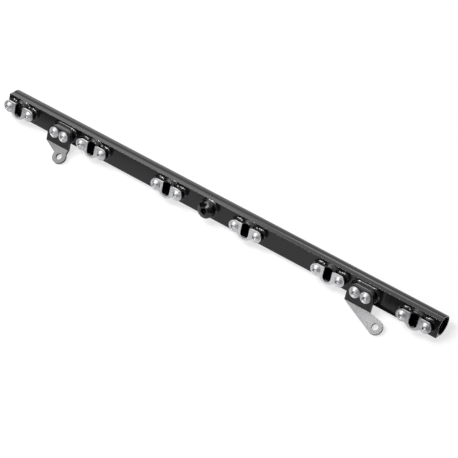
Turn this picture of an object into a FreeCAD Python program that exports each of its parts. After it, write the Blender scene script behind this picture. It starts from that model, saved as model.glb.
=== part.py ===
"""Fuel rail for a row of six injectors, with its clips, brackets, screws and port plug.

The rail lies along X. Its gallery is the X axis, the flat face with the injector ports
looks towards -Y, and +Z is up. The origin is on the gallery's axis, midway along the
row of ports. All sizes are in millimetres and degrees.
"""

import FreeCAD
import Part
import Sketcher
import math
import os
import re

from FreeCAD import Placement, Rotation, Vector

SIZES = (
    ("port_count", 6, "injector ports in the row"),
    ("port_pitch", 96.5, "between neighbouring injector ports"),
    ("left_overhang", 19.25, "from the first port to the rail's left end"),
    ("right_overhang", 23.25, "from the last port to the rail's right end"),
    ("tube_diameter", 21.2, "round back of the rail"),
    ("face_step", 0.9, "ledge between the flat top or bottom and the round back"),
    ("face_offset", 10.1, "from the gallery's axis to the flat face"),
    ("gallery_wall", 3.6, "between the round back and the fuel passage"),
    ("blank_allowance", 3.0, "the uncut bar stands this far outside the finished flats"),
    ("end_wall", 1.9, "between the round back and the threaded hole in each end"),
    ("end_thread_depth", 17.0, "from the end face to the end of that threaded wall"),
    ("end_lip", 0.8, "width of the end face round the mouth of that hole"),
    ("end_mouth_depth", 0.9, "depth of the cone at that mouth"),
    ("boss_height", 5.8, "injector cup and ears, above the flat face"),
    ("cup_diameter", 18.6, "outside of the injector cup"),
    ("ear_diameter", 12.0, "posts that carry the clip screws"),
    ("screw_span", 25.6, "between the two clip screws of a port"),
    ("boss_blend", 2.6, "plan radius in the corners between cup and ears"),
    ("base_fillet", 2.3, "radius left by the cutter round the foot of every boss"),
    ("boss_chamfer", 0.4, "edge break on cups and ears"),
    ("injector_diameter", 14.0, "bore that takes the top of an injector"),
    ("injector_depth", 12.5, "from the cup's face to the bottom of that bore"),
    ("injector_lead", 0.8, "chamfer at the mouth of that bore"),
    ("thread_diameter", 5.0, "thread of all the screws"),
    ("thread_gap", 0.05, "clearance all round between a thread and its hole"),
    ("clip_hole_depth", 7.5, "blind threaded hole in an ear"),
    ("clip_screw_grip", 6.0, "length of a clip screw inside the ear"),
    ("button_diameter", 9.6, "head of a screw, without flange"),
    ("button_height", 2.75, "head of a screw"),
    ("button_edge", 0.5, "upright rim under the dome of a head"),
    ("button_flat", 4.9, "flat round the socket on top of a head"),
    ("socket_width", 4.0, "hexagon socket of a screw, across its flats"),
    ("socket_depth", 1.9, "hexagon socket of a screw"),
    ("flange_diameter", 11.6, "flange under the head of a bracket screw"),
    ("flange_thickness", 1.0, "flange under the head of a bracket screw"),
    ("screw_hole_diameter", 5.5, "clearance holes in clips and brackets"),
    ("clip_thickness", 1.5, "sheet of the injector clips"),
    ("clip_ring_diameter", 18.6, "clip's rounded lower edge under the port"),
    ("clip_lobe_diameter", 12.4, "clip's rounded ends round the screws"),
    ("clip_blend", 3.0, "plan radius between ring and lobes"),
    ("clip_slot_width", 9.3, "slot that slides into the injector's groove"),
    ("clip_slot_bottom", 7.05, "from the port's axis down to the slot's round end"),
    ("bracket_share", 0.861, "how much of the free room beside a bracket lies on its outer side"),
    ("pad_length", 28.8, "bracket pad along the rail, and the bracket's width"),
    ("pad_width", 14.0, "bracket pad across the rail, round at both ends"),
    ("pad_height", 7.1, "bracket pad above the flat face"),
    ("pad_chamfer", 0.8, "edge break on the bracket pads"),
    ("pad_hole_depth", 8.5, "blind threaded holes in a bracket pad"),
    ("flange_gap", 0.4, "between the flanges of a bracket's two screws"),
    ("bracket_screw_grip", 7.0, "length of a bracket screw inside the pad"),
    ("bracket_thickness", 3.0, "sheet of the brackets"),
    ("bracket_drop", 12.0, "from the gallery's axis down to the crease of the bend"),
    ("bend_angle", 42.0, "turn of the foot out of the bracket's upright plate"),
    ("bend_radius", 1.0, "inside of the bend"),
    ("foot_reach", 9.9, "from the crease to the middle of the foot's hole"),
    ("eye_diameter", 15.0, "round end of the foot"),
    ("eye_hole_diameter", 6.8, "hole in the foot"),
    ("left_eye_overhang", 2.1, "left foot's eye, beyond the plate's right side"),
    ("left_notch_rise", 1.9, "notch beside the left foot's eye, above the eye's middle"),
    ("right_eye_reach", 11.6, "from the plate's right side to the middle of the right eye"),
    ("plug_boss_diameter", 17.4, "boss of the centre port"),
    ("plug_boss_height", 6.5, "boss of the centre port, above the flat face"),
    ("plug_thread_diameter", 12.9, "wall of the threaded hole in the centre port"),
    ("plug_grip", 9.0, "length of the plug inside the boss"),
    ("plug_end_break", 0.8, "chamfer on the plug's inner end"),
    ("plug_head_diameter", 16.8, "rim of the plug's head"),
    ("plug_rim_height", 1.4, "upright rim of the plug's head"),
    ("plug_crown_diameter", 9.4, "flat on top of the plug's head"),
    ("plug_crown_height", 1.6, "cone between the rim and the flat"),
    ("plug_socket_width", 6.4, "hexagon socket of the plug, across its flats"),
    ("plug_socket_depth", 4.0, "hexagon socket of the plug"),
    ("seal_section", 1.6, "thickness of the plug's sealing ring"),
    ("seal_gap", 0.05, "room round the sealing ring in its seat"),
    ("neck_diameter", 12.2, "plug's neck inside the sealing ring"),
)

WORKED_OUT = (
    ("rail_left", "( port_count - 1 ) * port_pitch / 2 + left_overhang", "middle to left end"),
    ("rail_right", "( port_count - 1 ) * port_pitch / 2 + right_overhang", "middle to right end"),
    ("first_port", "-0.5 * ( port_count - 1 ) * port_pitch", "place of the first port"),
    ("face_height", "tube_diameter - 2 * face_step", "flat face, top to bottom"),
    ("chord", "-1 * sqrt(tube_diameter ^ 2 / 4 - face_height ^ 2 / 4)", "ledge, behind the axis"),
    ("gallery_diameter", "tube_diameter - 2 * gallery_wall", "fuel passage from end to end"),
    ("end_thread_diameter", "tube_diameter - 2 * end_wall", "wall of each end's threaded hole"),
    ("end_mouth_diameter", "tube_diameter - 2 * end_lip", "cone's width at the end face"),
    ("cup_face", "face_offset + boss_height", "gallery's axis to the fronts of cups and ears"),
    ("clip_face", "cup_face + clip_thickness", "gallery's axis to the fronts of the clips"),
    ("pad_face", "face_offset + pad_height", "gallery's axis to the fronts of the bracket pads"),
    ("plate_face", "pad_face + bracket_thickness", "gallery's axis to the brackets' fronts"),
    ("plug_face", "face_offset + plug_boss_height", "gallery's axis to the centre boss's front"),
    ("free_room", "( port_pitch - screw_span - ear_diameter - pad_length ) / 2 - 2 * base_fillet",
     "on each side of a bracket that sits halfway between two ports"),
    ("bracket_spread", "( port_count / 2 - 1 ) * port_pitch - bracket_share * free_room",
     "middle to bracket"),
    ("bracket_screw_span", "flange_diameter + flange_gap", "between a bracket's two screws"),
    ("left_foot_shift", "pad_length / 2 + left_eye_overhang - eye_diameter / 2", "left eye"),
    ("right_foot_shift", "pad_length / 2 + right_eye_reach", "right eye, from its bracket's middle"),
    ("bend_run", "bend_radius * tan(bend_angle / 2)", "crease to the start of the bend"),
    ("shank_diameter", "thread_diameter - 2 * thread_gap", "all the screws"),
    ("seal_depth", "seal_section + 2 * seal_gap", "seat of the plug's sealing ring"),
    ("seal_seat", "neck_diameter + 2 * seal_section + 4 * seal_gap", "width of that seat"),
)

LEFT = -1
RIGHT = 1

ALIASES = {row[0] for row in SIZES + WORKED_OUT}

doc = FreeCAD.newDocument("fuel_rail")


# The sheet of driving dimensions

def make_sheet():
    sheet = doc.addObject("Spreadsheet::Sheet", "Sizes")
    worked_out = tuple((alias, f"={formula}", note) for alias, formula, note in WORKED_OUT)
    for row, (alias, value, note) in enumerate(SIZES + worked_out, start=1):
        sheet.set(f"A{row}", note)
        sheet.setAlias(f"B{row}", alias)
        sheet.set(f"B{row}", str(value))
    doc.recompute()
    return sheet


sheet = make_sheet()


def cells(formula):
    """Puts the sheet's name before every alias in a formula."""
    def named(match):
        word = match.group()
        return f"{sheet.Name}.{word}" if word in ALIASES else word
    return re.sub(r"[a-z_]+", named, formula)


def number(formula):
    """The present value of a formula, for a sketch's first guess."""
    return float(sheet.evalExpression(cells(formula)))


def bind(thing, prop, formula):
    thing.setExpression(prop, cells(formula))


# Bodies, sketches and their dimensions

def new_body(label):
    body = doc.addObject("PartDesign::Body", label)
    body.Label = label
    return body


def origin_feature(body, role):
    return next(item for item in body.Origin.OriginFeatures if item.Role == role)


def new_sketch(body, name, plane, lift="0", along="0"):
    """A sketch on one of the body's own planes, lifted off it and shifted along its x."""
    sketch = body.newObject("Sketcher::SketchObject", name)
    sketch.AttachmentSupport = [(origin_feature(body, plane), "")]
    sketch.MapMode = "FlatFace"
    bind(sketch, "AttachmentOffset.Base.z", lift)
    bind(sketch, "AttachmentOffset.Base.x", along)
    return sketch


def dimension(sketch, kind, refs, formula):
    index = sketch.addConstraint(Sketcher.Constraint(kind, *refs, number(formula)))
    bind(sketch, f"Constraints[{index}]", formula)


def place_point(sketch, curve, point, x, y):
    """Fixes a point by its two coordinates, on an axis where one of them is 0."""
    if x == "0" and y == "0":
        sketch.addConstraint(Sketcher.Constraint("Coincident", curve, point, -1, 1))
        return
    for kind, value, axis in (("DistanceX", x, -2), ("DistanceY", y, -1)):
        if value == "0":
            sketch.addConstraint(Sketcher.Constraint("PointOnObject", curve, point, axis))
        else:
            dimension(sketch, kind, (curve, point), value)


def add_circle(sketch, diameter, x="0", y="0"):
    circle = Part.Circle(Vector(number(x), number(y), 0), Vector(0, 0, 1), number(diameter) / 2)
    index = sketch.addGeometry(circle, False)
    dimension(sketch, "Diameter", (index,), diameter)
    place_point(sketch, index, 3, x, y)


def add_polygon(sketch, corners):
    """A closed outline of straight lines through corners given as formulas."""
    points = [Vector(number(x), number(y), 0) for x, y in corners]
    first = sketch.GeometryCount
    count = len(points)
    for index in range(count):
        sketch.addGeometry(Part.LineSegment(points[index], points[(index + 1) % count]), False)
    for index in range(count):
        joint = (first + index, 2, first + (index + 1) % count, 1)
        sketch.addConstraint(Sketcher.Constraint("Coincident", *joint))
    for index, (x, y) in enumerate(corners):
        place_point(sketch, first + index, 1, x, y)


def add_hexagon(sketch, width):
    flat = f"{width} / 2"
    half_side = f"{width} / 2 * tan( 30 )"
    tip = f"{width} / 2 / cos( 30 )"
    add_polygon(sketch, (
        ("0", f"-1 * {tip}"), (flat, f"-1 * {half_side}"), (flat, half_side),
        ("0", tip), (f"-1 * {flat}", half_side), (f"-1 * {flat}", f"-1 * {half_side}"),
    ))


def line(start, end):
    return Part.LineSegment(Vector(*start, 0), Vector(*end, 0))


def arc(centre, radius, start, end):
    """An arc about a centre, counter-clockwise from one point to the other."""
    angles = [math.atan2(point[1] - centre[1], point[0] - centre[0]) for point in (start, end)]
    circle = Part.Circle(Vector(*centre, 0), Vector(0, 0, 1), radius)
    return Part.ArcOfCircle(circle, angles[0], angles[1])


def joint_ends(one, other, taken):
    """Which free end of one curve meets which end of the other: 1 is a start, 2 is an end."""
    ends = [(1, one.StartPoint), (2, one.EndPoint)]
    others = ((1, other.StartPoint), (2, other.EndPoint))
    free = [end for end in ends if end[0] != taken]
    pairs = [(a.distanceToPoint(b), i, k) for i, a in free for k, b in others]
    gap, end_one, end_other = min(pairs)
    return end_one, end_other


def is_smooth(one, end_one, other, end_other):
    def heading(curve, end):
        at = curve.FirstParameter if end == 1 else curve.LastParameter
        return curve.tangent(at)[0]
    return abs(heading(one, end_one).cross(heading(other, end_other)).z) < 1e-6


def add_outline(sketch, curves):
    """Joins curves into a closed outline, tangent where they run smoothly into each other."""
    first = sketch.GeometryCount
    for curve in curves:
        sketch.addGeometry(curve, False)
    count = len(curves)
    start = 0
    for index, curve in enumerate(curves):
        following = (index + 1) % count
        end, start = joint_ends(curve, curves[following], start)
        smooth = is_smooth(curve, end, curves[following], start)
        kind = "Tangent" if smooth else "Coincident"
        joint = (first + index, end, first + following, start)
        sketch.addConstraint(Sketcher.Constraint(kind, *joint))
    return first


# Features

def pad(body, sketch, name, length, backwards=False):
    feature = body.newObject("PartDesign::Pad", name)
    feature.Profile = sketch
    feature.Reversed = backwards
    bind(feature, "Length", length)
    doc.recompute()
    return feature


def pocket(body, sketch, name, depth, backwards=False):
    before = body.Shape.Volume
    feature = body.newObject("PartDesign::Pocket", name)
    feature.Profile = sketch
    feature.Reversed = backwards
    bind(feature, "Length", depth)
    doc.recompute()
    if body.Shape.Volume >= before:
        raise RuntimeError(f"{name} cuts nothing")
    return feature


def turned(body, sketch, name, axis, cut=False):
    before = body.Shape.Volume if cut else 0
    kind = "PartDesign::Groove" if cut else "PartDesign::Revolution"
    feature = body.newObject(kind, name)
    feature.Profile = sketch
    feature.ReferenceAxis = (sketch, [axis])
    feature.Angle = 360
    doc.recompute()
    if cut and body.Shape.Volume >= before:
        raise RuntimeError(f"{name} cuts nothing")
    return feature


def along_row(body, features, name):
    """Repeats features at every injector port."""
    pattern = body.newObject("PartDesign::LinearPattern", name)
    pattern.Originals = features
    pattern.Direction = (origin_feature(body, "X_Axis"), [""])
    pattern.Mode = "Spacing"
    bind(pattern, "Offset", "port_pitch")
    bind(pattern, "Occurrences", "port_count")
    body.Tip = pattern
    doc.recompute()
    return pattern


def edge_names(shape, edges):
    """The names of some edges in a shape, found by comparing them."""
    names = []
    for index, edge in enumerate(shape.Edges, start=1):
        if any(edge.isSame(wanted) for wanted in edges):
            names.append(f"Edge{index}")
    return names


def faces_looking_forward(shape, offset):
    """Flat faces that look towards -Y at a given distance in front of the gallery's axis."""
    found = []
    for face in shape.Faces:
        if face.Surface.TypeId != "Part::GeomPlane":
            continue
        towards = face.normalAt(0, 0)
        if towards.y < -0.99 and abs(face.CenterOfMass.y + offset) < 1e-6:
            found.append(face)
    return found


def dress(body, kind, name, edges, prop, size):
    """A fillet or chamfer on edges of the body as it is so far."""
    base = body.Tip
    feature = body.newObject(kind, name)
    feature.Base = (base, edge_names(base.Shape, edges))
    bind(feature, prop, size)
    doc.recompute()
    return feature


# Places that several pieces share

def port_place(index):
    return f"( {index} - 0.5 * ( port_count - 1 ) ) * port_pitch"


def blend_between(big, small, apart, blend):
    """Centre of the small concave arc that touches two overlapping circles from outside."""
    reach_big = big + blend
    reach_small = small + blend
    x = (reach_big ** 2 - reach_small ** 2 + apart ** 2) / (2 * apart)
    y = math.sqrt(reach_big ** 2 - x ** 2)
    return x, y


def towards(centre, target, distance):
    length = math.hypot(target[0] - centre[0], target[1] - centre[1])
    share = distance / length
    x = centre[0] + (target[0] - centre[0]) * share
    y = centre[1] + (target[1] - centre[1]) * share
    return x, y


def flip(point, across_x=False, across_z=False):
    return (-point[0] if across_x else point[0], -point[1] if across_z else point[1])


# Outlines with arcs

def boss_outline(sketch):
    """Injector cup with an ear on either side, and a small blend in each corner."""
    cup = number("cup_diameter / 2")
    ear = number("ear_diameter / 2")
    apart = number("screw_span / 2")
    blend = number("boss_blend")
    corner = blend_between(cup, ear, apart, blend)
    on_cup = towards((0, 0), corner, cup)
    on_ear = towards((apart, 0), corner, ear)
    left_ear = (-apart, 0)
    curves = [
        arc((apart, 0), ear, flip(on_ear, False, True), on_ear),
        arc(corner, blend, on_cup, on_ear),
        arc((0, 0), cup, on_cup, flip(on_cup, True)),
        arc(flip(corner, True), blend, flip(on_ear, True), flip(on_cup, True)),
        arc(left_ear, ear, flip(on_ear, True), flip(on_ear, True, True)),
        arc(flip(corner, True, True), blend, flip(on_cup, True, True), flip(on_ear, True, True)),
        arc((0, 0), cup, flip(on_cup, True, True), flip(on_cup, False, True)),
        arc(flip(corner, False, True), blend, flip(on_ear, False, True), flip(on_cup, False, True)),
    ]
    first = add_outline(sketch, curves)
    for index in (1, 3, 5, 7):
        dimension(sketch, "Radius", (first + index,), "boss_blend")
    for index, formula in ((0, "ear_diameter / 2"), (2, "cup_diameter / 2"),
                           (4, "ear_diameter / 2"), (6, "cup_diameter / 2")):
        dimension(sketch, "Radius", (first + index,), formula)
    place_point(sketch, first, 3, "screw_span / 2", "0")
    place_point(sketch, first + 4, 3, "-0.5 * screw_span", "0")
    for index in (2, 6):
        place_point(sketch, first + index, 3, "0", "0")


def round_ended_outline(sketch, length, width, x="0"):
    """A bar shape with half-round ends, centred on a point of the sketch's x axis."""
    middle = number(x)
    radius = number(f"{width} / 2")
    reach = number(f"{length} / 2 - {width} / 2")
    left = middle - reach
    right = middle + reach
    curves = [
        line((left, -radius), (right, -radius)),
        arc((right, 0), radius, (right, -radius), (right, radius)),
        line((right, radius), (left, radius)),
        arc((left, 0), radius, (left, radius), (left, -radius)),
    ]
    first = add_outline(sketch, curves)
    dimension(sketch, "Radius", (first + 1,), f"{width} / 2")
    offset = f"( {length} / 2 - {width} / 2 )"
    place_point(sketch, first + 1, 3, f"{x} + {offset}", "0")
    place_point(sketch, first + 3, 3, f"{x} - {offset}", "0")


def clip_outline(sketch):
    """A lobe round each screw, a ring under the port and a slot open at the top."""
    ring = number("clip_ring_diameter / 2")
    lobe = number("clip_lobe_diameter / 2")
    apart = number("screw_span / 2")
    blend = number("clip_blend")
    slot = number("clip_slot_width / 2")
    slot_centre = -number("clip_slot_bottom - clip_slot_width / 2")
    corner = flip(blend_between(ring, lobe, apart, blend), False, True)
    on_ring = towards((0, 0), corner, ring)
    on_lobe = towards((apart, 0), corner, lobe)
    curves = [
        line((slot, lobe), (apart, lobe)),
        arc((apart, 0), lobe, on_lobe, (apart, lobe)),
        arc(corner, blend, on_lobe, on_ring),
        arc((0, 0), ring, flip(on_ring, True), on_ring),
        arc(flip(corner, True), blend, flip(on_ring, True), flip(on_lobe, True)),
        arc((-apart, 0), lobe, (-apart, lobe), flip(on_lobe, True)),
        line((-apart, lobe), (-slot, lobe)),
        line((-slot, lobe), (-slot, slot_centre)),
        arc((0, slot_centre), slot, (-slot, slot_centre), (slot, slot_centre)),
        line((slot, slot_centre), (slot, lobe)),
    ]
    first = add_outline(sketch, curves)
    for index in (0, 6):
        sketch.addConstraint(Sketcher.Constraint("Horizontal", first + index))
    for index in (7, 9):
        sketch.addConstraint(Sketcher.Constraint("Vertical", first + index))
    for index, formula in ((1, "clip_lobe_diameter / 2"), (2, "clip_blend"),
                           (3, "clip_ring_diameter / 2"), (4, "clip_blend"),
                           (5, "clip_lobe_diameter / 2"), (8, "clip_slot_width / 2")):
        dimension(sketch, "Radius", (first + index,), formula)
    place_point(sketch, first + 1, 3, "screw_span / 2", "0")
    place_point(sketch, first + 5, 3, "-0.5 * screw_span", "0")
    place_point(sketch, first + 3, 3, "0", "0")
    place_point(sketch, first + 8, 3, "0", "clip_slot_width / 2 - clip_slot_bottom")


def plate_outline(sketch):
    """Upright plate of a bracket: its top follows the pad, its lower edge meets the bend."""
    half = number("pad_length / 2")
    radius = number("pad_width / 2")
    foot = -number("bracket_drop - bend_run")
    reach = half - radius
    curves = [
        line((-half, foot), (half, foot)),
        line((half, foot), (half, 0)),
        arc((reach, 0), radius, (half, 0), (reach, radius)),
        line((reach, radius), (-reach, radius)),
        arc((-reach, 0), radius, (-reach, radius), (-half, 0)),
        line((-half, 0), (-half, foot)),
    ]
    first = add_outline(sketch, curves)
    for index in (2, 4):
        dimension(sketch, "Radius", (first + index,), "pad_width / 2")
    place_point(sketch, first + 2, 3, "pad_length / 2 - pad_width / 2", "0")
    place_point(sketch, first + 4, 3, "pad_width / 2 - pad_length / 2", "0")
    sketch.addConstraint(Sketcher.Constraint("Vertical", first + 1))
    sketch.addConstraint(Sketcher.Constraint("Vertical", first + 5))
    for start in (first, first + 1):
        dimension(sketch, "DistanceY", (start, 1), "bend_run - bracket_drop")


def bend_outline(sketch):
    """Section of the bend, seen from the side: a ring sector with its centre in front."""
    inner = number("bend_radius")
    outer = number("bend_radius + bracket_thickness")
    centre = (-outer, -number("bracket_drop - bend_run"))
    angle = math.radians(number("bend_angle"))
    level = (1, 0)
    turned_down = (math.cos(angle), -math.sin(angle))

    def on(radius, way):
        return centre[0] + radius * way[0], centre[1] + radius * way[1]

    curves = [
        line(on(inner, level), on(outer, level)),
        arc(centre, outer, on(outer, turned_down), on(outer, level)),
        line(on(outer, turned_down), on(inner, turned_down)),
        arc(centre, inner, on(inner, turned_down), on(inner, level)),
    ]
    first = add_outline(sketch, curves)
    dimension(sketch, "Radius", (first + 1,), "bend_radius + bracket_thickness")
    dimension(sketch, "Radius", (first + 3,), "bend_radius")
    sketch.addConstraint(Sketcher.Constraint("Coincident", first + 1, 3, first + 3, 3))
    away = "-1 * ( bend_radius + bracket_thickness )"
    place_point(sketch, first + 1, 3, away, "bend_run - bracket_drop")
    sketch.addConstraint(Sketcher.Constraint("Horizontal", first))
    sketch.addConstraint(Sketcher.Constraint("PointOnObject", first + 3, 3, first + 2))
    dimension(sketch, "Angle", (first, first + 2), "180 deg - bend_angle * 1 deg")


def notched_foot_outline(sketch, shift):
    """Foot with one slanting side that stops in a notch beside the eye."""
    half = number("pad_length / 2")
    start = -number("bend_run")
    eye = (number(shift), -number("foot_reach"))
    radius = number("eye_diameter / 2")
    rise = number("left_notch_rise")
    notch = (eye[0] - math.sqrt(radius ** 2 - rise ** 2), eye[1] + rise)
    shoulder = (half, eye[1] + math.sqrt(radius ** 2 - (half - eye[0]) ** 2))
    curves = [
        line((half, start), (-half, start)),
        line((-half, start), notch),
        arc(eye, radius, notch, shoulder),
        line(shoulder, (half, start)),
    ]
    first = add_outline(sketch, curves)
    dimension(sketch, "Radius", (first + 2,), "eye_diameter / 2")
    place_point(sketch, first + 2, 3, shift, "-1 * foot_reach")
    place_point(sketch, first, 1, "pad_length / 2", "-1 * bend_run")
    place_point(sketch, first, 2, "-0.5 * pad_length", "-1 * bend_run")
    dimension(sketch, "DistanceY", (first + 2, 1), "left_notch_rise - foot_reach")
    sketch.addConstraint(Sketcher.Constraint("Vertical", first + 3))


def tangent_point(corner, centre, radius, side):
    """Where a line from a corner touches a circle, on the side given by its sign."""
    distance = math.hypot(centre[0] - corner[0], centre[1] - corner[1])
    heading = math.atan2(corner[1] - centre[1], corner[0] - centre[0])
    angle = heading + side * math.acos(radius / distance)
    return centre[0] + radius * math.cos(angle), centre[1] + radius * math.sin(angle)


def tapered_foot_outline(sketch, shift):
    """Foot with two straight sides that run tangent into the eye."""
    half = number("pad_length / 2")
    start = -number("bend_run")
    eye = (number(shift), -number("foot_reach"))
    radius = number("eye_diameter / 2")
    low = tangent_point((-half, start), eye, radius, 1)
    high = tangent_point((half, start), eye, radius, -1)
    curves = [
        line((half, start), (-half, start)),
        line((-half, start), low),
        arc(eye, radius, low, high),
        line(high, (half, start)),
    ]
    first = add_outline(sketch, curves)
    dimension(sketch, "Radius", (first + 2,), "eye_diameter / 2")
    place_point(sketch, first + 2, 3, shift, "-1 * foot_reach")
    place_point(sketch, first, 1, "pad_length / 2", "-1 * bend_run")
    place_point(sketch, first, 2, "-0.5 * pad_length", "-1 * bend_run")


# The rail

def rail_blank(body):
    """Round back, and an oversize front block that is longer and taller than the rail."""
    length = "rail_left + rail_right"
    section = new_sketch(body, "round_back_section", "YZ_Plane", "-1 * rail_left")
    radius = number("tube_diameter / 2")
    chord = number("chord")
    half = number("face_height / 2")
    first = add_outline(section, [
        arc((0, 0), radius, (chord, -half), (chord, half)),
        line((chord, half), (chord, -half)),
    ])
    dimension(section, "Radius", (first,), "tube_diameter / 2")
    place_point(section, first, 3, "0", "0")
    dimension(section, "DistanceY", (first, 2), "face_height / 2")
    section.addConstraint(Sketcher.Constraint("Vertical", first + 1))
    pad(body, section, "round_back", length)
    block = new_sketch(body, "block_section", "YZ_Plane", "-1 * rail_left - blank_allowance")
    tall = "( face_height / 2 + blank_allowance )"
    add_polygon(block, (
        ("-1 * face_offset", f"-1 * {tall}"), ("chord", f"-1 * {tall}"),
        ("chord", tall), ("-1 * face_offset", tall),
    ))
    pad(body, block, "block", f"{length} + 2 * blank_allowance")


def rail_bosses(body):
    cups = new_sketch(body, "cup_and_ears", "XZ_Plane", "0", "first_port")
    boss_outline(cups)
    along_row(body, [pad(body, cups, "cup_and_ears_boss", "cup_face")], "cups_and_ears")
    pads = new_sketch(body, "bracket_pad_outlines", "XZ_Plane")
    for side in (LEFT, RIGHT):
        round_ended_outline(pads, "pad_length", "pad_width", f"{side} * bracket_spread")
    pad(body, pads, "bracket_pads", "pad_face")
    centre = new_sketch(body, "centre_boss_outline", "XZ_Plane")
    add_circle(centre, "plug_boss_diameter")
    pad(body, centre, "centre_boss", "plug_face")


def rail_edges(body):
    """Fillets round the feet of the bosses and edge breaks on their fronts."""
    front = max(faces_looking_forward(body.Tip.Shape, number("face_offset")), key=lambda face: face.Area)
    feet = [edge for wire in front.Wires if not wire.isSame(front.OuterWire) for edge in wire.Edges]
    dress(body, "PartDesign::Fillet", "base_fillets", feet, "Radius", "base_fillet")
    for name, face_at, size in (("cup_edge_breaks", "cup_face", "boss_chamfer"),
                                ("centre_edge_break", "plug_face", "boss_chamfer"),
                                ("pad_edge_breaks", "pad_face", "pad_chamfer")):
        tops = faces_looking_forward(body.Tip.Shape, number(face_at))
        edges = [edge for face in tops for edge in face.OuterWire.Edges]
        dress(body, "PartDesign::Chamfer", name, edges, "Size", size)


def rail_trims(body):
    """Cuts the block down to the finished flats and to the rail's length."""
    flats = new_sketch(body, "flats_waste", "YZ_Plane", "-1 * rail_left - blank_allowance")
    inner = "face_height / 2"
    outer = "( face_height / 2 + 2 * blank_allowance )"
    front = "-1 * cup_face - pad_height"
    for side in ("1", "-1"):
        add_polygon(flats, (
            (front, f"{side} * {inner}"), ("chord", f"{side} * {inner}"),
            ("chord", f"{side} * {outer}"), (front, f"{side} * {outer}"),
        ))
    length = "rail_left + rail_right + 2 * blank_allowance"
    pocket(body, flats, "finished_flats", length, backwards=True)
    ends = new_sketch(body, "end_waste", "XZ_Plane", "cup_face + pad_height")
    tall = "( face_height / 2 + blank_allowance )"
    for inside, sign in (("-1 * rail_left", "-1"), ("rail_right", "1")):
        outside = f"{inside} + {sign} * 2 * blank_allowance"
        add_polygon(ends, (
            (inside, f"-1 * {tall}"), (outside, f"-1 * {tall}"), (outside, tall), (inside, tall),
        ))
    pocket(body, ends, "finished_ends", "cup_face + pad_height + tube_diameter")


def rail_gallery(body):
    gallery = new_sketch(body, "gallery_section", "YZ_Plane", "-1 * rail_left")
    add_circle(gallery, "gallery_diameter")
    pocket(body, gallery, "gallery", "rail_left + rail_right", backwards=True)
    for name, end, inwards in (("left_port", "-1 * rail_left", "1"), ("right_port", "rail_right", "-1")):
        profile = new_sketch(body, f"{name}_profile", "XY_Plane")
        wall = "end_thread_diameter / 2"
        mouth = f"{end} + {inwards} * end_mouth_depth"
        bottom = f"{end} + {inwards} * end_thread_depth"
        point = f"{bottom} + {inwards} * ( end_thread_diameter / 2 - gallery_diameter / 2 )"
        add_polygon(profile, (
            (end, "0"), (end, "end_mouth_diameter / 2"), (mouth, wall), (bottom, wall),
            (point, "gallery_diameter / 2"), (point, "0"),
        ))
        turned(body, profile, name, "H_Axis", cut=True)


def rail_ports(body):
    bore = new_sketch(body, "injector_bore_profile", "XY_Plane", "0", "first_port")
    face = "-1 * cup_face"
    wall = "injector_diameter / 2"
    add_polygon(bore, (
        ("0", face), (f"{wall} + injector_lead", face), (wall, f"{face} + injector_lead"),
        (wall, f"{face} + injector_depth"), ("0", f"{face} + injector_depth"),
    ))
    bore_cut = turned(body, bore, "injector_bore", "V_Axis", cut=True)
    holes = new_sketch(body, "clip_hole_centres", "XZ_Plane", "cup_face", "first_port")
    for side in (LEFT, RIGHT):
        add_circle(holes, "thread_diameter", f"{side} * screw_span / 2")
    hole_cut = pocket(body, holes, "clip_screw_holes", "clip_hole_depth")
    along_row(body, [bore_cut, hole_cut], "ports_in_row")


def rail_centre_port(body):
    profile = new_sketch(body, "centre_port_profile", "XY_Plane")
    face = "-1 * plug_face"
    wall = "plug_thread_diameter / 2"
    seat = f"{face} + seal_depth"
    add_polygon(profile, (
        ("0", face), ("seal_seat / 2", face), ("seal_seat / 2", seat), (wall, seat),
        (wall, "-0.25 * gallery_diameter"), ("0", "-0.25 * gallery_diameter"),
    ))
    turned(body, profile, "centre_port", "V_Axis", cut=True)


def rail_bracket_holes(body):
    holes = new_sketch(body, "bracket_hole_centres", "XZ_Plane", "pad_face")
    for side in (LEFT, RIGHT):
        for place in (LEFT, RIGHT):
            middle = f"{side} * bracket_spread + {place} * bracket_screw_span / 2"
            add_circle(holes, "thread_diameter", middle)
    pocket(body, holes, "bracket_screw_holes", "pad_hole_depth")


def make_rail():
    body = new_body("rail_body")
    rail_blank(body)
    rail_bosses(body)
    rail_edges(body)
    rail_trims(body)
    rail_gallery(body)
    rail_ports(body)
    rail_centre_port(body)
    rail_bracket_holes(body)
    return body


# Clips and brackets

def make_clip(index):
    body = new_body(f"injector_clip_{index + 1}")
    outline = new_sketch(body, "clip_outline", "XZ_Plane")
    clip_outline(outline)
    for side in (LEFT, RIGHT):
        add_circle(outline, "screw_hole_diameter", f"{side} * screw_span / 2")
    pad(body, outline, "clip_sheet", "clip_thickness")
    bind(body, "Placement.Base.x", port_place(index))
    bind(body, "Placement.Base.y", "-1 * cup_face")
    return body


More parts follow.
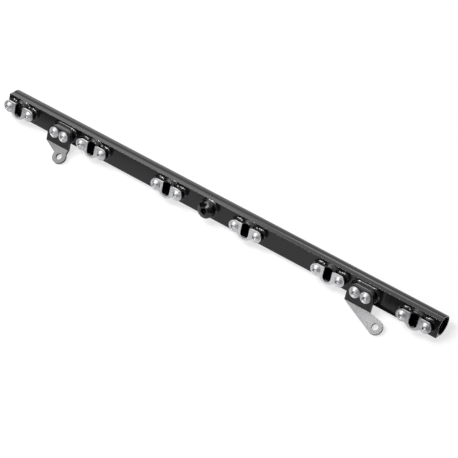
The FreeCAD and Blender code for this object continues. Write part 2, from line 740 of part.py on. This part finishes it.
def make_bracket(label, side, foot_outline, shift):
    body = new_body(label)
    plate = new_sketch(body, "plate_outline", "XZ_Plane")
    plate_outline(plate)
    for place in (LEFT, RIGHT):
        add_circle(plate, "screw_hole_diameter", f"{place} * bracket_screw_span / 2")
    pad(body, plate, "plate", "bracket_thickness")
    bend = new_sketch(body, "bend_section", "YZ_Plane", "-0.5 * pad_length")
    bend_outline(bend)
    pad(body, bend, "bend", "pad_length")
    foot = new_sketch(body, "foot_outline", "XZ_Plane", "bracket_thickness")
    foot.AttachmentOffset = Placement(Vector(), Rotation(Vector(1, 0, 0), -1))
    bind(foot, "AttachmentOffset.Base.z", "bracket_thickness")
    bind(foot, "AttachmentOffset.Base.y", "-1 * bracket_drop")
    bind(foot, "AttachmentOffset.Rotation.Angle", "-1 * bend_angle")
    foot_outline(foot, shift)
    add_circle(foot, "eye_hole_diameter", shift, "-1 * foot_reach")
    pad(body, foot, "foot", "bracket_thickness", backwards=True)
    bind(body, "Placement.Base.x", f"{side} * bracket_spread")
    bind(body, "Placement.Base.y", "-1 * pad_face")
    return body


# Screws and the plug, turned about their own Z axis and then laid to point along -Y

OUT_OF_FACE = Rotation(Vector(1, 0, 0), 90)


def seat_on(body, x, face):
    body.Placement = Placement(Vector(), OUT_OF_FACE)
    bind(body, "Placement.Base.x", x)
    bind(body, "Placement.Base.y", f"-1 * {face}")


def head_profile(sketch, flange, grip):
    """Half section of a button head screw, its seat at height 0."""
    rise = "flange_thickness" if flange else "0"
    edge_height = f"( {rise} + button_edge )"
    rim = number("button_diameter / 2")
    edge = number(edge_height)
    top = number("button_height")
    flat = number("button_flat / 2")
    centre_z = (rim ** 2 - flat ** 2 + edge ** 2 - top ** 2) / (2 * (edge - top))
    radius = math.hypot(rim, edge - centre_z)
    shank = number("shank_diameter / 2")
    bottom = -number(grip)
    seat = number("flange_diameter / 2") if flange else rim
    step = number(rise)
    corners = [(0, bottom), (shank, bottom), (shank, 0), (seat, 0)]
    formulas = [("0", f"-1 * {grip}"), ("shank_diameter / 2", f"-1 * {grip}"), ("shank_diameter / 2", "0")]
    if flange:
        corners += [(seat, step), (rim, step)]
        formulas += [("flange_diameter / 2", "0"), ("flange_diameter / 2", rise)]
        formulas += [("button_diameter / 2", rise)]
    else:
        formulas += [("button_diameter / 2", "0")]
    corners.append((rim, edge))
    formulas.append(("button_diameter / 2", edge_height))
    curves = [line(corners[i], corners[i + 1]) for i in range(len(corners) - 1)]
    dome = len(curves)
    curves.append(arc((0, centre_z), radius, (rim, edge), (flat, top)))
    curves.append(line((flat, top), (0, top)))
    curves.append(line((0, top), (0, bottom)))
    first = add_outline(sketch, curves)
    for index, (x, y) in enumerate(formulas):
        place_point(sketch, first + index, 1, x, y)
    place_point(sketch, first + dome + 1, 1, "button_flat / 2", "button_height")
    place_point(sketch, first + dome + 2, 1, "0", "button_height")
    dimension(sketch, "DistanceX", (first + dome, 3), "0")


def make_screw(label, x, face, grip, flange):
    body = new_body(label)
    profile = new_sketch(body, "screw_profile", "XZ_Plane")
    head_profile(profile, flange, grip)
    turned(body, profile, "screw", "V_Axis")
    socket = new_sketch(body, "socket_outline", "XY_Plane", "button_height")
    add_hexagon(socket, "socket_width")
    pocket(body, socket, "socket", "socket_depth")
    seat_on(body, x, face)
    return body


def make_plug():
    body = new_body("port_plug")
    profile = new_sketch(body, "plug_profile", "XZ_Plane")
    top = "( plug_rim_height + plug_crown_height )"
    shank = "( plug_thread_diameter / 2 - thread_gap )"
    add_polygon(profile, (
        ("0", "-1 * plug_grip"), (f"{shank} - plug_end_break", "-1 * plug_grip"),
        (shank, "plug_end_break - plug_grip"), (shank, "-1 * seal_depth - plug_end_break"),
        ("neck_diameter / 2", "-1 * seal_depth - plug_end_break"), ("neck_diameter / 2", "0"),
        ("plug_head_diameter / 2", "0"), ("plug_head_diameter / 2", "plug_rim_height"),
        ("plug_crown_diameter / 2", top), ("0", top),
    ))
    turned(body, profile, "plug", "V_Axis")
    socket = new_sketch(body, "plug_socket_outline", "XY_Plane", top)
    add_hexagon(socket, "plug_socket_width")
    pocket(body, socket, "plug_socket", "plug_socket_depth")
    seat_on(body, "0", "plug_face")
    return body


def make_seal():
    ring = doc.addObject("Part::Torus", "plug_seal")
    ring.Label = "plug_seal"
    bind(ring, "Radius1", "( neck_diameter + seal_section ) / 2 + seal_gap")
    bind(ring, "Radius2", "seal_section / 2")
    ring.Placement = Placement(Vector(), OUT_OF_FACE)
    bind(ring, "Placement.Base.y", "seal_depth / 2 - plug_face")
    return ring


def make_parts():
    parts = [make_rail()]
    for index in range(int(number("port_count"))):
        parts.append(make_clip(index))
        for name, side in (("left", LEFT), ("right", RIGHT)):
            place = f"{port_place(index)} + {side} * screw_span / 2"
            grip = "( clip_screw_grip + clip_thickness )"
            label = f"clip_screw_{index + 1}_{name}"
            parts.append(make_screw(label, place, "clip_face", grip, flange=False))
    parts.append(make_bracket("bracket_left", LEFT, notched_foot_outline, "left_foot_shift"))
    parts.append(make_bracket("bracket_right", RIGHT, tapered_foot_outline, "right_foot_shift"))
    for name, side in (("left", LEFT), ("right", RIGHT)):
        for letter, place in (("a", LEFT), ("b", RIGHT)):
            middle = f"{side} * bracket_spread + {place} * bracket_screw_span / 2"
            grip = "( bracket_screw_grip + bracket_thickness )"
            label = f"bracket_screw_{name}_{letter}"
            parts.append(make_screw(label, middle, "plate_face", grip, flange=True))
    parts.append(make_plug())
    parts.append(make_seal())
    return parts


def check(parts):
    for thing in doc.Objects:
        if "Invalid" in thing.State or "Error" in thing.State:
            raise RuntimeError(f"{thing.Name} failed: {thing.State}")
    for part in parts:
        if part.Shape.isNull() or not part.Shape.isValid():
            raise RuntimeError(f"{part.Label} has no valid shape")


def main():
    parts = make_parts()
    doc.recompute()
    check(parts)
    os.makedirs("parts", exist_ok=True)
    for part in parts:
        part.Shape.exportStep(os.path.join("parts", part.Label + ".step"))
        print(part.Label, "volume", round(part.Shape.Volume, 1), "solids", len(part.Shape.Solids))


main()
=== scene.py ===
"""Looks for the fuel rail: materials, end threads, floor, lights and camera."""

import math

import bmesh
import bpy
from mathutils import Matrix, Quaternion, Vector


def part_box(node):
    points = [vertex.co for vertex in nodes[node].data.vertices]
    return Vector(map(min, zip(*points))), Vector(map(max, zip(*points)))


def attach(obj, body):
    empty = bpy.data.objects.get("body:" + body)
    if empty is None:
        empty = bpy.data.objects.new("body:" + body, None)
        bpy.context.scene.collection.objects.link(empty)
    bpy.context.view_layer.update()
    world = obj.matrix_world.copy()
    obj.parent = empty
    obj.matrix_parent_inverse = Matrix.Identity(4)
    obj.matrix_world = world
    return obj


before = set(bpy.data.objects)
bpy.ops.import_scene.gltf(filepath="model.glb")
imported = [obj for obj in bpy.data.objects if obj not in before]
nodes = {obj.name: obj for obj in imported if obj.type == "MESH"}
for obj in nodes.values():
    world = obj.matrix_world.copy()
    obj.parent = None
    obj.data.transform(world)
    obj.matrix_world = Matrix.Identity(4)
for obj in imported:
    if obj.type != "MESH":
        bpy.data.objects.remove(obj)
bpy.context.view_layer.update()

MM = 0.001
MICRON = 0.001 * MM


# Shader nodes

WHITE = (1.0, 1.0, 1.0, 1.0)
COOL = 1.02
NOISE_LOW = 0.3
NOISE_HIGH = 0.7


def node(tree, kind, inputs=None, **settings):
    """Adds a node. Each input is a socket, which is linked, or a plain value."""
    made = tree.nodes.new(kind)
    for key, value in settings.items():
        setattr(made, key, value)
    for key, value in (inputs or {}).items():
        if isinstance(value, bpy.types.NodeSocket):
            tree.links.new(value, made.inputs[key])
        else:
            made.inputs[key].default_value = value
    return made


def new_material(name, inputs=None):
    """A material with one Principled shader, with its node tree and that shader."""
    material = bpy.data.materials.new(name)
    material.use_nodes = True
    tree = material.node_tree
    tree.nodes.clear()
    shader = node(tree, "ShaderNodeBsdfPrincipled", inputs)
    node(tree, "ShaderNodeOutputMaterial", {0: shader.outputs[0]})
    return material, tree, shader


def feed(tree, shader, sockets):
    """Links each socket to the shader's input of that name."""
    for name, socket in sockets.items():
        tree.links.new(socket, shader.inputs[name])


def maths(tree, operation, *values):
    """A Math node's result, from sockets or numbers."""
    return node(tree, "ShaderNodeMath", dict(enumerate(values)), operation=operation).outputs[0]


def vector_maths(tree, operation, *values):
    """A Vector Math node's result, which is a number for a length or a dot product."""
    made = node(tree, "ShaderNodeVectorMath", dict(enumerate(values)), operation=operation)
    return made.outputs["Value" if operation in ("LENGTH", "DOT_PRODUCT") else "Vector"]


def product(tree, first, *others):
    for factor in others:
        first = maths(tree, "MULTIPLY", first, factor)
    return first


def coordinates(tree, kind):
    return node(tree, "ShaderNodeTexCoord").outputs[kind]


def parts(tree, vector):
    """The X, Y and Z of a vector."""
    return node(tree, "ShaderNodeSeparateXYZ", {0: vector}).outputs


def noise(tree, vector, scale, detail):
    inputs = {"Vector": vector, "Scale": scale, "Detail": detail, "Roughness": 0.55}
    return node(tree, "ShaderNodeTexNoise", inputs).outputs["Fac"]


def stretched_noise(tree, stretch, detail=4.0):
    """Noise over the whole object, in streaks along the axis with the smallest number."""
    mapping = node(tree, "ShaderNodeMapping", {0: coordinates(tree, "Object"), "Scale": stretch})
    return noise(tree, mapping.outputs[0], 1.0, detail)


def ramp(tree, value, low, high, start=NOISE_LOW, end=NOISE_HIGH):
    """low up to start, high from end on, and straight in between."""
    inputs = {"Value": value, "From Min": start, "From Max": end, "To Min": low, "To Max": high}
    return node(tree, "ShaderNodeMapRange", inputs).outputs[0]


def rises(tree, value, start, end):
    return ramp(tree, value, 0.0, 1.0, start, end)


def falls(tree, value, start, end):
    return ramp(tree, value, 1.0, 0.0, start, end)


def colour_mix(tree, factor, one, other):
    return node(tree, "ShaderNodeMix", {0: factor, 6: one, 7: other}, data_type="RGBA").outputs[2]


def bump(tree, height, distance, normal=None):
    inputs = {"Height": height, "Distance": distance, "Strength": 1.0}
    if normal is not None:
        inputs["Normal"] = normal
    return node(tree, "ShaderNodeBump", inputs).outputs[0]


def grey(value):
    """A grey that is a touch cooler than neutral."""
    return (value, value, value * COOL, 1.0)


# Black surfaces

# Each pair of numbers says where a share starts and where it ends.
FRONT_NORMAL = (-0.999, -0.98)
BLEND_LEAVES_FRONT = (-0.98, -0.88)
BLEND_MEETS_TOP = (-0.4, -0.15)
BLEND_FACES_UP = (-0.1, 0.2)
BLEND_CURVES = (0.02, 0.08)
HOLLOW_DEPTH = (-9.5 * MM, -8.5 * MM)
HOLLOW_SHARE = 0.5
REACH_FADE = 1.5 * MM
SIDE_NORMAL = (0.9, 0.99)
EDGE_AGREEMENT = (0.9, 0.995)
END_ZONE = (250.0 * MM, 251.0 * MM)
RIM_RADIUS = (10.6 * MM, 10.9 * MM)
# Tone of the painted highlight ring at the port mouths.
RIM_HIGHLIGHT_TONE = 0.55
# Painted shade and painted highlight: the gloss share on the faces that look along the rail, and on the
# broken edges.
SIDE_SHADE_GLOSS = 0.4
EDGE_HIGHLIGHT_GLOSS = 2.4
SPECK_RELIEF = 0.4
COAT_IOR = 1.8


def cutter_marks(tree):
    """Lines left by the cutter: upright on the front faces, along the rail elsewhere."""
    front = falls(tree, parts(tree, coordinates(tree, "Normal"))["Y"], *FRONT_NORMAL)
    upright = stretched_noise(tree, (1500.0, 25.0, 25.0), 5.0)
    lengthwise = stretched_noise(tree, (9.0, 1300.0, 1300.0))
    return node(tree, "ShaderNodeMix", {0: front, 2: lengthwise, 3: upright}).outputs[0]


def painted_highlight_share(tree, reach):
    """Where the blends get a painted highlight: 1 on the upward-facing rounded corners above the front
    faces, a part of it in the long hollow beside the round back, 0 on flats, on straight blends further
    forward and in front of reach."""
    normal = parts(tree, coordinates(tree, "Normal"))
    depth = parts(tree, coordinates(tree, "Object"))["Y"]
    curved = rises(tree, maths(tree, "ABSOLUTE", normal["X"]), *BLEND_CURVES)
    hollow = ramp(tree, depth, 0.0, HOLLOW_SHARE, *HOLLOW_DEPTH)
    return product(
        tree,
        rises(tree, normal["Y"], *BLEND_LEAVES_FRONT),
        falls(tree, normal["Y"], *BLEND_MEETS_TOP),
        rises(tree, normal["Z"], *BLEND_FACES_UP),
        rises(tree, depth, reach - REACH_FADE, reach),
        maths(tree, "MAXIMUM", curved, hollow),
    )


def side_share(tree):
    """1 on the end faces and the sides of the ears, which look along the rail."""
    normal = parts(tree, coordinates(tree, "Normal"))
    return rises(tree, maths(tree, "ABSOLUTE", normal["X"]), *SIDE_NORMAL)


def edge_share(tree, rounded):
    """1 on the broken edges, where the rounded normal leaves the face's own."""
    face = node(tree, "ShaderNodeNewGeometry").outputs["Normal"]
    return falls(tree, vector_maths(tree, "DOT_PRODUCT", rounded, face), *EDGE_AGREEMENT)


def painted_rim_highlight(material):
    """Paints a light grey ring, a painted highlight, on the end faces round the mouth of each end port.
    """
    tree = material.node_tree
    colour = tree.nodes["Principled BSDF"].inputs["Base Color"]
    place = coordinates(tree, "Object")
    along = maths(tree, "ABSOLUTE", parts(tree, place)["X"])
    radius = vector_maths(tree, "LENGTH", vector_maths(tree, "MULTIPLY", place, (0.0, 1.0, 1.0)))
    rim = product(
        tree,
        rises(tree, along, *END_ZONE),
        falls(tree, radius, *RIM_RADIUS),
        side_share(tree),
    )
    tree.links.new(colour_mix(tree, rim, colour.links[0].from_socket, grey(RIM_HIGHLIGHT_TONE)), colour)


def black_coat(name, tone, rough, streaks, relief, edge, flats, blends, reach=-12.8 * MM):
    """Black anodised aluminium whose gloss is partly painted: a painted highlight on the upward-facing
    blends and broken edges, and painted shade on the faces that look along the rail.
    With a high roughness it also serves for rubber.

    tone is the base colour. rough is the roughness, which varies by streaks, and relief is the
    depth of the cutter's marks. edge is the radius of a broken edge. flats is the gloss on the
    flats, blends is the raised gloss on the blends, which paints a highlight, and reach is how far
    forward that painted highlight goes.
    """
    material, tree, shader = new_material(name, {"IOR": COAT_IOR, "Specular IOR Level": 1.0})
    marks = cutter_marks(tree)
    clouds = stretched_noise(tree, (55.0, 90.0, 90.0))
    specks = stretched_noise(tree, (2600.0, 2600.0, 2600.0), 2.0)
    rounded = node(tree, "ShaderNodeBevel", {"Radius": edge}, samples=12).outputs[0]
    # Painted shade: the faces that look along the rail get less gloss.
    side_shaded_gloss = colour_mix(tree, side_share(tree), grey(flats), grey(flats * SIDE_SHADE_GLOSS))
    # Painted highlight: the broken edges get more gloss.
    edge_highlighted_gloss = colour_mix(tree, edge_share(tree, rounded), side_shaded_gloss, grey(flats * EDGE_HIGHLIGHT_GLOSS))
    cloudy = ramp(tree, clouds, 0.0, 1.0)
    streaked = ramp(tree, marks, rough - streaks, rough + streaks)
    grain = bump(tree, specks, relief * SPECK_RELIEF, rounded)
    feed(tree, shader, {
        "Base Color": colour_mix(tree, cloudy, grey(tone * 0.7), grey(tone * 1.5)),
        "Roughness": maths(tree, "ADD", streaked, ramp(tree, clouds, -0.03, 0.03)),
        # Painted highlight: the upward-facing blends get their own higher gloss.
        "Specular Tint": colour_mix(tree, painted_highlight_share(tree, reach), edge_highlighted_gloss, grey(blends)),
        "Normal": bump(tree, marks, relief, grain),
    })
    return material


# Stainless steel

def smudged(tree, tone, stretch, darkest):
    """A steel's colour, which falls to the darkest share of its tone in soft smudges."""
    smudge = stretched_noise(tree, (stretch, stretch, stretch), 3.0)
    return colour_mix(tree, ramp(tree, smudge, 0.0, 1.0), grey(tone * darkest), grey(tone))


def brushed_steel(name, tone, rough, brushing):
    """Sheet steel with fine brushed lines."""
    material, tree, shader = new_material(name, {"Metallic": 1.0})
    marks = stretched_noise(tree, brushing)
    feed(tree, shader, {
        "Base Color": smudged(tree, tone, 120.0, 0.86),
        "Roughness": ramp(tree, marks, rough - 0.07, rough + 0.09),
        "Normal": bump(tree, marks, 10.0 * MICRON),
    })
    return material


def turned_steel(name, tone, rough):
    """Steel turned on a lathe: rings round each screw's own axis, which runs along Y."""
    material, tree, shader = new_material(name, {"Metallic": 1.0, "Anisotropic": 0.8})
    place = coordinates(tree, "Generated")
    from_axis = vector_maths(tree, "SUBTRACT", place, (0.5, 0.0, 0.5))
    outwards = vector_maths(tree, "MULTIPLY", from_axis, (1.0, 0.0, 1.0))
    radius = vector_maths(tree, "LENGTH", outwards)
    rings = noise(tree, node(tree, "ShaderNodeCombineXYZ", {0: radius}).outputs[0], 7.0, 3.0)
    feed(tree, shader, {
        "Base Color": smudged(tree, tone, 180.0, 0.85),
        "Roughness": ramp(tree, rings, rough - 0.12, rough + 0.12),
        "Normal": bump(tree, rings, 200.0 * MICRON),
        "Tangent": vector_maths(tree, "NORMALIZE", outwards),
    })
    return material


# Materials of the pieces

rail_black = black_coat("rail_black", tone=0.004, rough=0.16, streaks=0.03, relief=0.5 * MICRON,
                        edge=0.3 * MM, flats=0.19, blends=0.65)
painted_rim_highlight(rail_black)
bracket_black = black_coat("bracket_black", tone=0.005, rough=0.30, streaks=0.015, relief=0.5 * MICRON,
                           edge=0.2 * MM, flats=0.22, blends=0.22)
plug_black = black_coat("plug_black", tone=0.003, rough=0.12, streaks=0.02, relief=1.0 * MICRON,
                        edge=0.3 * MM, flats=0.20, blends=0.5, reach=-30.0 * MM)
# The threads' tone and gloss are raised above the rail's: painted light inside the dark port mouths.
thread_black_painted_light = black_coat("thread_black_painted_light", tone=0.04, rough=0.35, streaks=0.03, relief=2.0 * MICRON,
                          edge=0.1 * MM, flats=0.40, blends=0.4)
seal_rubber = black_coat("seal_rubber", tone=0.004, rough=0.55, streaks=0.05, relief=10.0 * MICRON,
                         edge=0.3 * MM, flats=0.2, blends=0.2)
clip_steel = brushed_steel("clip_steel", tone=0.74, rough=0.30, brushing=(900.0, 900.0, 60.0))
screw_steel = turned_steel("screw_steel", tone=0.86, rough=0.72)

MATERIALS = {
    "rail_body": rail_black,
    "injector_clip": clip_steel,
    "clip_screw": screw_steel,
    "bracket_screw": screw_steel,
    "bracket_left": bracket_black,
    "bracket_right": bracket_black,
    "port_plug": plug_black,
    "plug_seal": seal_rubber,
}
for name, piece in nodes.items():
    for start, material in MATERIALS.items():
        if name.startswith(start):
            piece.data.materials.clear()
            piece.data.materials.append(material)
            break


def add_object(name, data):
    made = bpy.data.objects.new(name, data)
    bpy.context.scene.collection.objects.link(made)
    return made


# Threads in the end ports

THREAD_PITCH = 1.5 * MM
THREAD_WALL = 8.8 * MM
THREAD_CREST = 8.15 * MM
THREAD_STARTS = 2.3 * MM
THREAD_ENDS = 15.5 * MM
ROOT_HALF = 0.42 * THREAD_PITCH
CREST_HALF = 0.12 * ROOT_HALF
STEPS_PER_TURN = 36
FADE_TURNS = 0.5
LOWEST_RIDGE = 0.05


def thread(name, start, end):
    """A helical ridge on the wall of an end port, from one X to another."""
    turns = abs(end - start) / THREAD_PITCH
    count = int(turns * STEPS_PER_TURN)
    made = bmesh.new()
    rings = []
    for index in range(count + 1):
        share = index / count
        angle = 2 * math.pi * turns * share
        x = start + (end - start) * share
        height = min(1.0, min(share, 1 - share) * turns / FADE_TURNS)
        top = THREAD_WALL + (THREAD_CREST - THREAD_WALL) * max(height, LOWEST_RIDGE)
        ring = []
        for radius, shift in ((THREAD_WALL, -ROOT_HALF), (top, -CREST_HALF),
                              (top, CREST_HALF), (THREAD_WALL, ROOT_HALF)):
            ring.append(made.verts.new((x + shift, radius * math.cos(angle), radius * math.sin(angle))))
        rings.append(ring)
    for one, other in zip(rings[:-1], rings[1:]):
        for corner in range(4):
            following = (corner + 1) % 4
            made.faces.new((one[corner], one[following], other[following], other[corner]))
    made.faces.new(rings[0])
    made.faces.new(rings[-1])
    bmesh.ops.recalc_face_normals(made, faces=made.faces)
    mesh = bpy.data.meshes.new(name)
    made.to_mesh(mesh)
    made.free()
    mesh.materials.append(thread_black_painted_light)
    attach(add_object(name, mesh), "root")


left_face, right_face = (corner[0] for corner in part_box("rail_body"))
thread("end_thread_left", left_face + THREAD_STARTS, left_face + THREAD_ENDS)
thread("end_thread_right", right_face - THREAD_STARTS, right_face - THREAD_ENDS)


# White surroundings

FLOOR_HALF = 3.0
FLOOR_TILT = math.radians(26.9)
FLOOR_DROP = 10.65 * MM
FLOOR_WHITE = 0.71
WORLD_FILL = 0.1
ROOM_DARK = 0.08
BACKDROP_RISE = (-0.1, 0.35)


def seen_share(tree, rays):
    """1 for what the camera sees, also in reflections, 0 for the light on the object."""
    seen = maths(tree, "MAXIMUM", rays["Is Camera Ray"], rays["Is Glossy Ray"])
    return maths(tree, "MAXIMUM", seen, rays["Is Transmission Ray"])


def floor_paper():
    """White paper that still takes shadows. The camera looks through it from below."""
    material, tree, shader = new_material("floor", {"Roughness": 0.9, "Specular IOR Level": 0.0})
    dust = stretched_noise(tree, (30.0, 30.0, 30.0))
    feed(tree, shader, {"Base Color": colour_mix(tree, dust, grey(0.92), grey(0.94))})
    rays = node(tree, "ShaderNodeLightPath").outputs
    white = node(tree, "ShaderNodeEmission", {"Color": WHITE, "Strength": 1.0}).outputs[0]
    share = maths(tree, "MULTIPLY", seen_share(tree, rays), FLOOR_WHITE)
    paper = node(tree, "ShaderNodeMixShader", {0: share, 1: shader.outputs[0], 2: white}).outputs[0]
    below = node(tree, "ShaderNodeNewGeometry").outputs["Backfacing"]
    behind = maths(tree, "MULTIPLY", below, rays["Is Camera Ray"])
    clear = node(tree, "ShaderNodeBsdfTransparent").outputs[0]
    one_sided = node(tree, "ShaderNodeMixShader", {0: behind, 1: paper, 2: clear}).outputs[0]
    tree.links.new(one_sided, tree.nodes["Material Output"].inputs[0])
    return material


def studio_world():
    """White to the camera, with a dark room in front of the rail that shows in reflections."""
    world = bpy.data.worlds.new("studio")
    world.use_nodes = True
    tree = world.node_tree
    tree.nodes.clear()
    rays = node(tree, "ShaderNodeLightPath").outputs
    towards = parts(tree, coordinates(tree, "Generated"))
    backdrop = ramp(tree, towards["Y"], ROOM_DARK, 1.0, *BACKDROP_RISE)
    shown = maths(tree, "MAXIMUM", backdrop, rays["Is Camera Ray"])
    strength = ramp(tree, seen_share(tree, rays), WORLD_FILL, shown, 0.0, 1.0)
    background = node(tree, "ShaderNodeBackground", {"Color": WHITE, "Strength": strength})
    node(tree, "ShaderNodeOutputWorld", {0: background.outputs[0]})
    return world


floor_mesh = bpy.data.meshes.new("floor")
grid = bmesh.new()
bmesh.ops.create_grid(grid, x_segments=1, y_segments=1, size=FLOOR_HALF)
grid.to_mesh(floor_mesh)
grid.free()
floor_mesh.materials.append(floor_paper())
floor = add_object("floor", floor_mesh)
floor.rotation_euler = (FLOOR_TILT, 0, 0)
floor.location = Vector((0, math.sin(FLOOR_TILT), -math.cos(FLOOR_TILT))) * FLOOR_DROP

bpy.context.scene.world = studio_world()


# Lamps: name, direction from the rail, distance, width, height and power

SOFTBOXES = (
    ("key", (-0.46, -0.57, 0.69), 5.0, 1.5, 2.4, 165.0),
    ("spark", (-0.12, -0.66, 0.745), 1.5, 0.34, 0.34, 9.0),
    ("overhead", (-0.36, 0.14, 0.92), 2.0, 1.5, 0.3, 4.2),
    ("back", (-0.60, 0.67, 0.44), 2.2, 1.1, 0.8, 2.6),
    ("front", (-0.06, -0.95, 0.30), 2.0, 0.8, 0.6, 8.0),
)


def softbox(name, towards, distance, width, height, power):
    lamp = bpy.data.lights.new(name, "AREA")
    lamp.shape = "RECTANGLE"
    lamp.size = width
    lamp.size_y = height
    lamp.energy = power
    made = add_object(name, lamp)
    direction = Vector(towards).normalized()
    made.location = direction * distance
    made.rotation_mode = "QUATERNION"
    made.rotation_quaternion = direction.to_track_quat("Z", "Y")


for row in SOFTBOXES:
    softbox(*row)


# Dark cards: name, middle of the lower edge, width, height and turn in degrees

DARK_CARDS = (
    ("card_left", (-0.29, -0.165, -0.25), 0.57, 0.32, -47.9),
    ("card_right", (0.23, -0.12, -0.12), 0.14, 0.09, 0.0),
    ("card_back", (-0.17, 1.30, -0.10), 0.96, 0.34, 0.0),
    ("card_end", (0.268, 0.0, -0.04), 0.06, 0.05, 90.0),
)


def dark_card(name, foot, width, height, turn):
    """A black card beside the set, which only shows as a dark reflection."""
    mesh = bpy.data.meshes.new(name)
    half = width / 2
    corners = [(-half, 0, 0), (half, 0, 0), (half, 0, height), (-half, 0, height)]
    mesh.from_pydata(corners, [], [(0, 1, 2, 3)])
    mesh.materials.append(new_material(name, {"Base Color": grey(0.01), "Roughness": 0.9})[0])
    card = add_object(name, mesh)
    card.location = foot
    card.rotation_euler = (0, 0, math.radians(turn))
    card.visible_camera = False
    card.visible_diffuse = False
    card.visible_shadow = False


for row in DARK_CARDS:
    dark_card(*row)


# Camera, from the fit to the photograph

PHOTO_PIXELS = 458.0
FOCAL_PIXELS = 1800.0
SENSOR_WIDTH = 36.0
CAMERA_PLACE = (0.74371549, -1.36008005, 0.87414105)
CAMERA_TURN = (0.81098974, 0.49536774, 0.06411963, 0.30462291)

camera = bpy.data.cameras.new("camera")
camera.sensor_width = SENSOR_WIDTH
camera.lens = FOCAL_PIXELS / PHOTO_PIXELS * SENSOR_WIDTH
camera.clip_start = 0.05
camera.clip_end = 50.0
eye = add_object("camera", camera)
eye.location = CAMERA_PLACE
eye.rotation_mode = "QUATERNION"
eye.rotation_quaternion = Quaternion(CAMERA_TURN)
bpy.context.scene.camera = eye
bpy.context.scene.view_settings.view_transform = "Standard"
